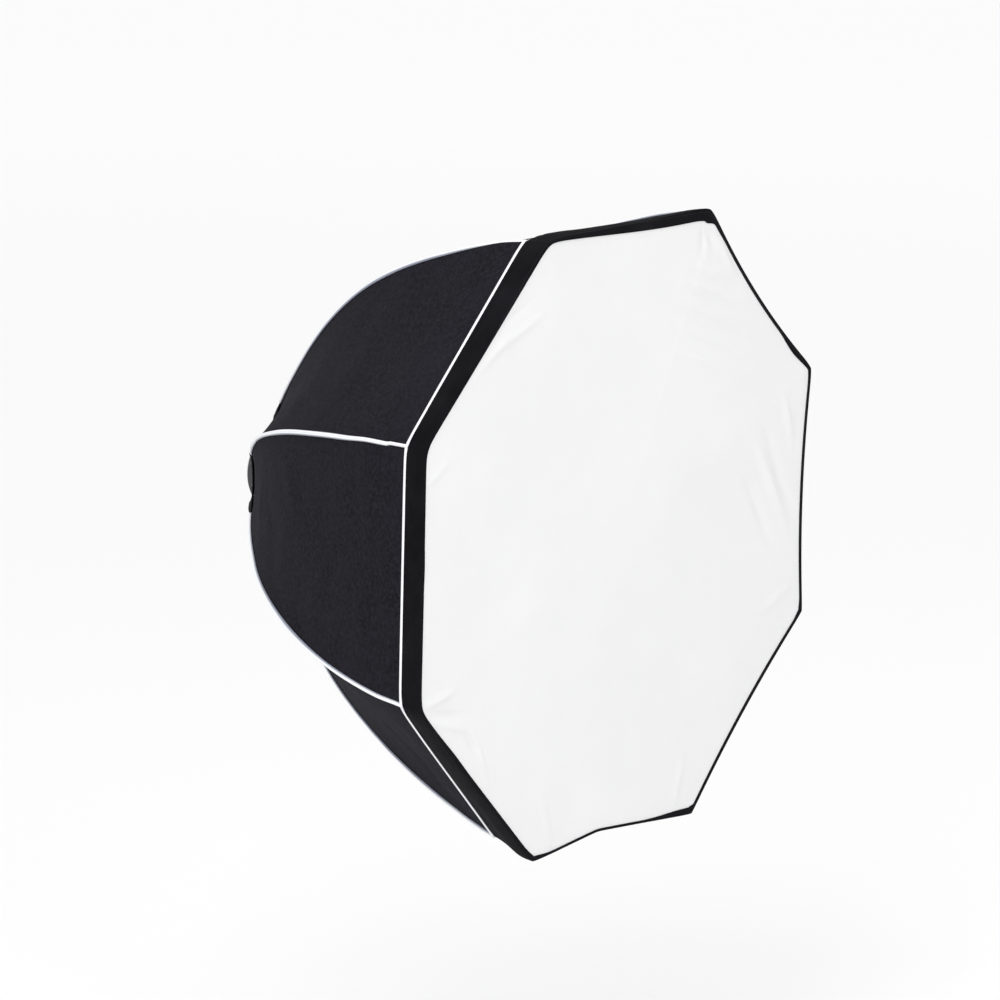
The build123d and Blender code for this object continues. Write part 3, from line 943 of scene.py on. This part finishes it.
# Creases fan out from the corners that pull hardest, as (x, z, direction, half length, half width, depth in
# mm). The diffuser's depths are multiplied by CREASE_HEIGHT.
CREASE_HEIGHT = 2.1
DIFFUSER_CREASES = [
    (0.21, 0.37, -0.30, 0.13, 0.009, 1.2),
    (0.22, 0.34, -0.34, 0.16, 0.009, 1.5),
    (0.22, 0.305, -0.38, 0.15, 0.009, 1.5),
    (0.21, 0.27, -0.42, 0.14, 0.009, 1.3),
    (0.19, 0.235, -0.46, 0.08, 0.009, 1.0),
    (0.375, 0.02, -1.06, 0.12, 0.009, 2.4),
    (0.395, 0.04, -1.07, 0.11, 0.009, -1.9),
    (0.345, -0.02, -1.04, 0.10, 0.009, -1.6),
    (0.415, 0.12, -1.19, 0.06, 0.008, 1.6),
    (0.18, 0.42, -1.45, 0.035, 0.005, -1.2),
    (0.20, 0.42, -1.00, 0.032, 0.007, -1.7),
    (0.24, 0.39, -0.96, 0.05, 0.006, 1.3),
    (-0.25, 0.33, 0.44, 0.09, 0.007, 1.3),
    (-0.27, 0.35, 0.48, 0.08, 0.006, -1.1),
    (-0.30, 0.31, 0.57, 0.08, 0.007, 1.1),
    (-0.41, -0.18, 0.13, 0.05, 0.006, 1.6),
    (-0.39, -0.21, -0.25, 0.06, 0.006, -1.4),
    (-0.38, -0.23, -0.40, 0.06, 0.006, 1.5),
    (-0.32, -0.28, -1.14, 0.06, 0.006, 1.5),
    (-0.34, -0.26, -0.91, 0.05, 0.006, -1.2),
    (-0.45, 0.24, -1.92, 0.06, 0.008, 0.9),
    (-0.43, 0.15, 0.50, 0.05, 0.007, 0.9),
    (0.40, -0.16, 0.40, 0.06, 0.009, 0.8),
    (0.16, -0.41, 1.30, 0.06, 0.008, 1.0),
    (-0.16, -0.41, 1.90, 0.07, 0.008, 1.0),
]


def ring_place(i, j):
    """Where point (i, j) of a square grid stands on an eight-sided ring, as (which ring, sides round it).
    Each half side of the square becomes one side of the ring."""
    m = max(abs(i), abs(j))
    if m == 0:
        return 0, 0.0
    if i == m:
        w = (j + m) / m
    elif j == m:
        w = 2 + (m - i) / m
    elif i == -m:
        w = 4 + (m - j) / m
    else:
        w = 6 + (i + m) / m
    return m, (w + 6) % SIDES


def make_octagon(name, rim, depth_at, rings, material):
    """A sheet of cloth from its centre out to rim(k, u), on a square grid so that its middle is even, with
    its rings closer together near the rim. depth_at(x, z, share) gives how far it stands forward of the
    straight line between centre and rim."""
    crowding = 1.35
    corners = [rim(k, 0.0) for k in range(SIDES)]
    centre = sum(corners, Vector((0, 0, 0))) / SIDES
    side = (corners[1] - corners[0]).length
    verts, uvs, edges = [], [], []
    for j in range(-rings, rings + 1):
        for i in range(-rings, rings + 1):
            m, w = ring_place(i, j)
            share = 1 - (1 - m / rings) ** crowding
            p = rim(int(w), w - int(w))
            q = centre.lerp(p, share)
            verts.append(q + FORWARD * depth_at(q.x, q.z, share))
            uvs.append((q.x, q.z))
            edges.append((w * side, (p - q).length * 0.95))
    faces = grid_faces(2 * rings + 1, 2 * rings + 1)
    obj = new_object(name, verts, faces, uvs, edges)
    obj.data.materials.append(material)
    return obj


def diffuser_rim(k, u):
    """The diffuser's edge is tucked under the lip's hem."""
    behind, under = 0.0016, 0.0012
    turn = drawn_in(k, u)
    s = front_s(u) - HEM_LEAN * turn - behind
    return shell_point(k, u, s, 0.0, None, roll_size(k, u) + turn - under)


def diffuser_depth(x, z, share):
    """It bows back a little in its middle, with a soft wave and the creases, and lies flat at its rim."""
    bow = -0.004 * (1 - share**2)
    soft = 0.0012 * noise_at(x * 5, z * 5, 3.0)
    fade = falling(share, 1.0, 0.03)
    return bow + (soft + CREASE_HEIGHT * crease_field(DIFFUSER_CREASES, x, z)) * fade


DIFFUSER_RINGS = 140
diffuser = make_octagon("diffuser_cloth", diffuser_rim, diffuser_depth, DIFFUSER_RINGS, DIFFUSER)
thicken(diffuser, SHEER)
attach(diffuser, "diffuser")
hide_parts("front_diffuser")

BAFFLE_S = 0.300
BAFFLE_CORNER = 0.290
BAFFLE_CREASE_R = 0.235
BAFFLE_RINGS = 50


def baffle_rim(k, u):
    """The baffle's edge curves inward between the tabs that pull on its corners."""
    draw_in, in_front = 0.014, 0.0006
    p0 = outward(rib_azimuth(k)) * BAFFLE_CORNER
    p1 = outward(rib_azimuth(k + 1)) * BAFFLE_CORNER
    mid = outward(rib_azimuth(k) + SECTOR / 2)
    return p0.lerp(p1, u) - mid * (draw_in * curve(u)) + FORWARD * (BAFFLE_S + in_front)


def corner_creases(k):
    """Three creases that fan out from one of the baffle's corners."""
    a = rib_azimuth(k)
    x, z = math.cos(a) * BAFFLE_CREASE_R, math.sin(a) * BAFFLE_CREASE_R
    fan = ((-0.30, 1.6), (0.0, -1.2), (0.27, 1.4))
    return [(x, z, a + turn, 0.075, 0.008, depth) for turn, depth in fan]


BAFFLE_CREASES = [crease for k in range(SIDES) for crease in corner_creases(k)]


def baffle_depth(x, z, share):
    """A soft wave that dies out at the rim, with the creases."""
    soft = 0.003 * noise_at(x * 7, z * 7, 6.0) * (1 - share**4)
    return soft + crease_field(BAFFLE_CREASES, x, z)


baffle = make_octagon("baffle_cloth", baffle_rim, baffle_depth, BAFFLE_RINGS, BAFFLE)
thicken(baffle, SHEER)
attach(baffle, "baffle")
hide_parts("inner_baffle")


def make_tabs():
    """Eight elastic straps from the baffle's corners to the rods. They narrow and lift at their middle."""
    inner_r, outer_r = 0.276, 0.340
    section = ((-1, 0.0), (-1, 0.0011), (-0.5, 0.0013), (0.5, 0.0013), (1, 0.0011), (1, 0.0))
    rows = 25
    verts, uvs, faces = [], [], []
    for k in range(SIDES):
        a = rib_azimuth(k)
        side = tangent(a)
        start = len(verts)
        for i in range(rows):
            t = i / (rows - 1)
            r = lerp(inner_r, outer_r, t)
            half = 0.0095 - 0.0012 * math.sin(math.pi * t)
            lift = 0.0011 + 0.0022 * math.sin(math.pi * t) ** 2 + 0.0006 * noise_at(t * 5, k * 3.1, 2.0)
            origin = outward(a) * r + FORWARD * (BAFFLE_S + lift)
            for x, h in section:
                verts.append(origin + side * (x * half) + FORWARD * h)
                uvs.append((r, x * half))
        faces += [tuple(start + n for n in face) for face in tube_faces(rows, len(section))]
    obj = new_object("baffle_straps", verts, faces, uvs)
    fix_normals(obj)
    obj.data.materials.append(ELASTIC)
    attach(obj, "baffle")
    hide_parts("baffle_tabs")


make_tabs()


# ---------------------------------------------------------------- rear collar
def make_collar():
    """A stiffened eight-sided cuff, with a bound rear edge and soft gathers between its corners."""
    start, end = 0.0345, 0.0615
    ring_r, shell_side_r = 0.0985, shell_r(end) + 0.0030
    cloth_width, side_length = 0.046, 0.088
    count, rows = 48, 34
    verts, uvs = [], []
    for i in range(rows):
        t = i / (rows - 1)
        s = lerp(start, end, t)
        corners = []
        for k in range(SIDES):
            r = lerp(ring_r, shell_side_r, t) - REAR_IN[k] * t**3 + 0.0012 * math.sin(math.pi * t)
            corners.append(outward(rib_azimuth(k)) * r)
        for k in range(SIDES):
            p0, p1 = corners[k], corners[(k + 1) % SIDES]
            mid = outward(rib_azimuth(k) + SECTOR / 2)
            for j in range(count):
                u = j / count
                round_off = -0.0012 * math.exp(-edge_of(u) / 0.03)
                spread = math.sin(math.pi * (0.15 + 0.7 * t))
                gather = 0.0011 * noise_at(u * 9 + k * 7, t * 1.2, 5.0) * spread
                hem = 0.0006 * (bump((t - 0.09) / 0.08) + bump((t - 0.92) / 0.08))
                slack = lerp(0.019, sag(k, REAR_S), t) * curve(u)
                offset = round_off + gather + hem - slack
                verts.append(p0.lerp(p1, u) + mid * offset + FORWARD * s)
                uvs.append(((k + u) * side_length, t * cloth_width))
    obj = new_object("collar_cloth", verts, grid_faces(rows, count * SIDES, wrap=True), uvs)
    obj.data.materials.append(CUFF)
    thicken(obj, 2 * CLOTH)
    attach(obj, "ring")
    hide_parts("rear_collar")


make_collar()


# ---------------------------------------------------------------- hard parts
def dress(node, material, bevel=0.0004):
    """Gives a CAD node its material and softened edges."""
    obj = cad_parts[node]
    obj.data.materials.clear()
    obj.data.materials.append(material)
    mod = obj.modifiers.new("edge", "BEVEL")
    mod.width = bevel
    mod.segments = 2
    mod.limit_method = "ANGLE"
    mod.angle_limit = math.radians(40)
    mod.harden_normals = True


for node in ("bayonet_insert", "bayonet_lugs", "retaining_plate"):
    dress(node, CAST)
dress("rotating_ring", RING, 0.0005)
for node in ("hinge_pins", "plate_screws", "brake_screw"):
    dress(node, STEEL, 0.0002)
for node in ("glide_ring", "brake_pad"):
    dress(node, NYLON, 0.0002)
dress("brake_knob", KNOB, 0.0003)
for n in range(1, SIDES + 1):
    dress(f"rod_socket_{n}", SOCKET, 0.0003)


# ---------------------------------------------------------------- stage, light and camera
def make_stage():
    """A white sweep: a floor with painted shade near the object, where the lamps light it most, growing
    lighter away from the object, under an even white sky.
    """
    mesh = bpy.data.meshes.new("floor")
    size, low = 90.0, -1.05
    corners = [(-size, -size, low), (size, -size, low), (size, size, low), (-size, size, low)]
    mesh.from_pydata(corners, [], [(0, 1, 2, 3)])
    floor = bpy.data.objects.new("floor", mesh)
    bpy.context.scene.collection.objects.link(floor)
    m = Nodes("floor")
    away = m.add("VectorMath", operation="LENGTH")
    m.link(m.place(), away.inputs[0])
    mottle = m.mix(m.noise(m.place(), 0.7, 2.0), (0.90, 0.90, 0.90), (0.905, 0.905, 0.905))
    # painted shade: the floor is darkest within 3 m of the object and lighter out to 12 m, offsetting the
    # lamps' extra light near the object
    tone = m.mix(m.ramp(away.outputs["Value"], 3.0, 12.0), mottle, (0.965, 0.965, 0.965))
    floor.data.materials.append(m.finish(m.principled(tone, 0.9, None, Specular_IOR_Level=0.1)))
    world = bpy.data.worlds.new("studio")
    bpy.context.scene.world = world
    world.use_nodes = True
    background = world.node_tree.nodes["Background"]
    background.inputs[0].default_value = (1.0, 1.0, 1.0, 1.0)
    background.inputs[1].default_value = 1.0
    scene = bpy.context.scene
    scene.view_settings.view_transform = "Standard"
    scene.view_settings.look = "None"
    scene.view_settings.exposure = 0.0


def area_light(name, place, target, size, power):
    """A rectangular lamp at place, turned towards target."""
    data = bpy.data.lights.new(name, "AREA")
    data.shape = "RECTANGLE"
    data.size, data.size_y = size
    data.energy = power
    obj = bpy.data.objects.new(name, data)
    bpy.context.scene.collection.objects.link(obj)
    obj.location = place
    obj.rotation_mode = "QUATERNION"
    obj.rotation_quaternion = (Vector(target) - Vector(place)).to_track_quat("-Z", "Y")
    return obj


make_stage()
area_light("key", (-3.0, -1.6, 2.8), (0, -0.35, 0), (2.2, 2.2), 60)
area_light("front", (-1.0, -4.5, 1.6), (0, -0.6, 0), (3.0, 3.0), 55)


def make_camera():
    """The photograph's viewpoint: about 12 degrees above the axis and 52 degrees to the left of it. shift is
    the front's middle as the camera sees it (right, down, away), in corner radii."""

    def turn(axis, degrees):
        return Matrix.Rotation(math.radians(degrees), 3, axis)

    base = Matrix(((1, 0, 0), (0, 0, -1), (0, 1, 0)))
    look = turn("X", 13.28) @ turn("Y", -50.66) @ turn("Z", 2.10) @ base
    shift = Vector((0.366, 0.102, 14.839))
    place = look.transposed() @ -(shift * CORNER) + FORWARD * DEPTH
    to_blender = Matrix(((1, 0, 0), (0, -1, 0), (0, 0, -1))) @ look
    data = bpy.data.cameras.new("camera")
    data.sensor_width = 36
    data.lens = 180
    data.clip_end = 300
    camera = bpy.data.objects.new("camera", data)
    bpy.context.scene.collection.objects.link(camera)
    camera.rotation_mode = "QUATERNION"
    camera.location = place
    camera.rotation_quaternion = to_blender.transposed().to_quaternion()
    bpy.context.scene.camera = camera


make_camera()
